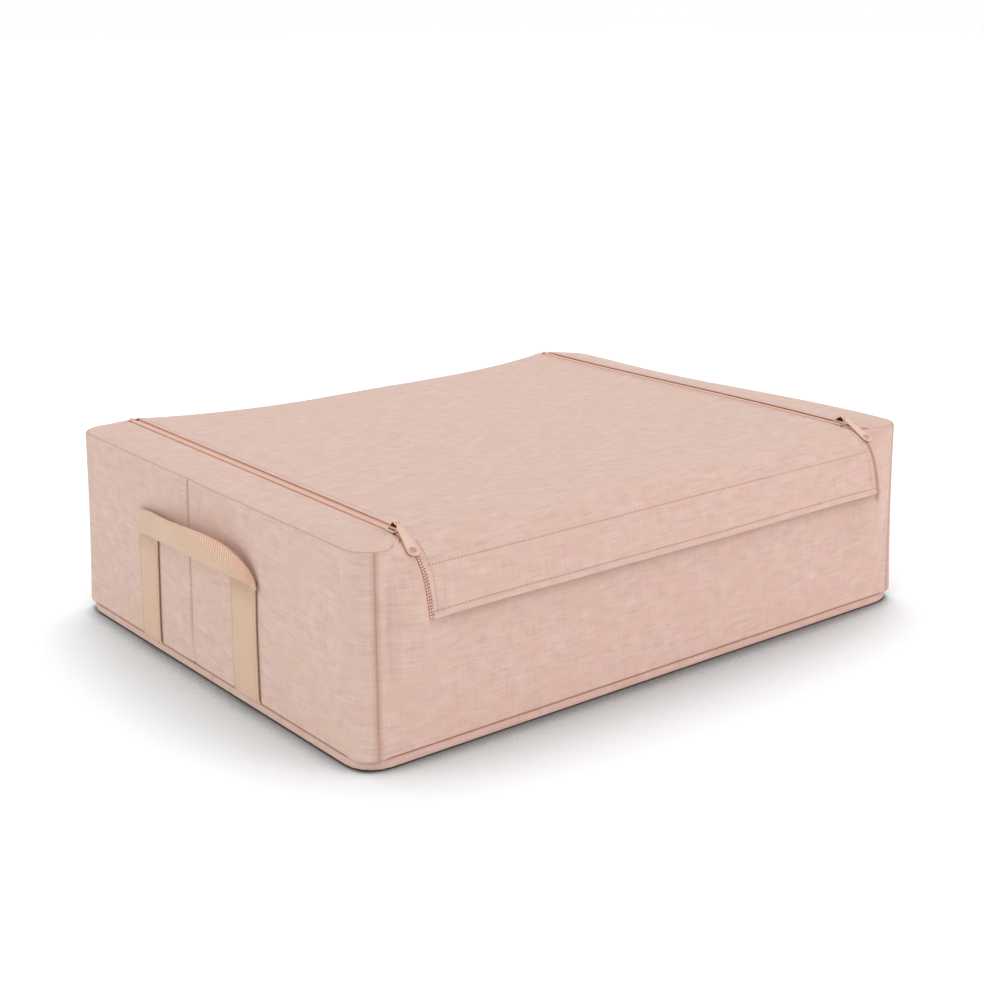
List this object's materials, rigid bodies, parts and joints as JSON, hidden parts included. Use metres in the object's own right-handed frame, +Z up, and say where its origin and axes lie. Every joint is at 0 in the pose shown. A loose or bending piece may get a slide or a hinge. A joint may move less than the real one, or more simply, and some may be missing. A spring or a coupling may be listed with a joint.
{
  "type": "under bed storage box",
  "caption": "Low soft-sided storage box of linen-look cloth over boards, with a zip lid, a loose front flap and webbing handles on its short sides.",
  "frame": {"origin": "centre of the underside, on the floor", "axes": "+X along the long side, +Y to the back where the lid hinges, +Z up; the flap is at the front, -Y"},
  "size_m": [0.6358, 0.4715, 0.1788],
  "materials": {
    "linen_cloth": "matt heathered plain weave in pale blush",
    "lining_cloth": "thin matt non-woven lining",
    "stiffener_board": "plain grey-brown board",
    "webbing": "ribbed woven tape",
    "zip_tape": "fine herringbone tape",
    "zip_coil": "nylon coil",
    "zip_metal": "satin enamel in the colour of the cloth"
  },
  "bodies": {
    "box": {"base_cloth": "linen_cloth", "left_wall_cloth": "linen_cloth", "right_wall_cloth": "linen_cloth", "front_wall_cloth": "linen_cloth", "back_wall_cloth": "linen_cloth", "left_top_strip": "linen_cloth", "right_top_strip": "linen_cloth", "base_lining": "lining_cloth", "left_wall_lining": "lining_cloth", "right_wall_lining": "lining_cloth", "front_wall_lining": "lining_cloth", "back_wall_lining": "lining_cloth", "front_board": "stiffener_board", "back_board": "stiffener_board", "left_front_board": "stiffener_board", "left_rear_board": "stiffener_board", "right_front_board": "stiffener_board", "right_rear_board": "stiffener_board", "left_front_handle_leg": "webbing", "left_rear_handle_leg": "webbing", "right_front_handle_leg": "webbing", "right_rear_handle_leg": "webbing", "left_fixed_zip_tape": "zip_tape", "right_fixed_zip_tape": "zip_tape", "left_fixed_zip_coil": "zip_coil", "right_fixed_zip_coil": "zip_coil", "left_zip_stop": "zip_metal", "right_zip_stop": "zip_metal"},
    "lid": {"lid_panel": "linen_cloth", "lid_lining": "lining_cloth", "left_lid_zip_tape": "zip_tape", "left_lid_zip_coil": "zip_coil", "right_lid_zip_tape": "zip_tape", "right_lid_zip_coil": "zip_coil"},
    "flap": {"flap_panel": "linen_cloth", "flap_facing": "lining_cloth", "left_flap_zip_tape": "zip_tape", "left_flap_zip_coil": "zip_coil", "right_flap_zip_tape": "zip_tape", "right_flap_zip_coil": "zip_coil"},
    "base_board": {"base_board": "stiffener_board", "base_board_cover": "lining_cloth"},
    "left_slider": {"left_slider": "zip_metal"},
    "left_pull": {"left_pull": "zip_metal"},
    "left_handle": {"left_handle_grip": "webbing"},
    "right_slider": {"right_slider": "zip_metal"},
    "right_pull": {"right_pull": "zip_metal"},
    "right_handle": {"right_handle_grip": "webbing"}
  },
  "joints": [
    {"name": "lid_hinge", "type": "hinge", "parent": "box", "child": "lid", "pos_m": [0, 0.225, 0.17], "axis": [-1, 0, 0], "range_deg": [0, 120]},
    {"name": "flap_fold", "type": "hinge", "parent": "lid", "child": "flap", "pos_m": [0, -0.19, 0.17], "axis": [-1, 0, 0], "range_deg": [0, 100]},
    {"name": "base_board_lift", "type": "slide", "parent": "box", "child": "base_board", "axis": [0, 0, 1], "range_m": [0, 0.12]},
    {"name": "left_zip_travel", "type": "slide", "parent": "box", "child": "left_slider", "axis": [0, 1, 0], "range_m": [0, 0.404]},
    {"name": "left_pull_turn", "type": "hinge", "parent": "left_slider", "child": "left_pull", "pos_m": [-0.247, -0.196, 0.17745], "axis": [-1, 0, 0], "range_deg": [0, 221]},
    {"name": "left_handle_swing", "type": "hinge", "parent": "box", "child": "left_handle", "pos_m": [-0.302, 0.028, 0.104], "axis": [0, -1, 0], "range_deg": [0, 90]},
    {"name": "right_zip_travel", "type": "slide", "parent": "box", "child": "right_slider", "axis": [0, 1, 0], "range_m": [0, 0.404]},
    {"name": "right_pull_turn", "type": "hinge", "parent": "right_slider", "child": "right_pull", "pos_m": [0.247, -0.196, 0.17745], "axis": [-1, 0, 0], "range_deg": [0, 221]},
    {"name": "right_handle_swing", "type": "hinge", "parent": "box", "child": "right_handle", "pos_m": [0.302, 0.028, 0.104], "axis": [0, 1, 0], "range_deg": [0, 90]}
  ],
  "couplings": [
    {"joint": "left_pull_turn", "follows": "left_zip_travel", "rad_per_m": 9.5043},
    {"joint": "right_pull_turn", "follows": "right_zip_travel", "rad_per_m": 9.5043}
  ]
}
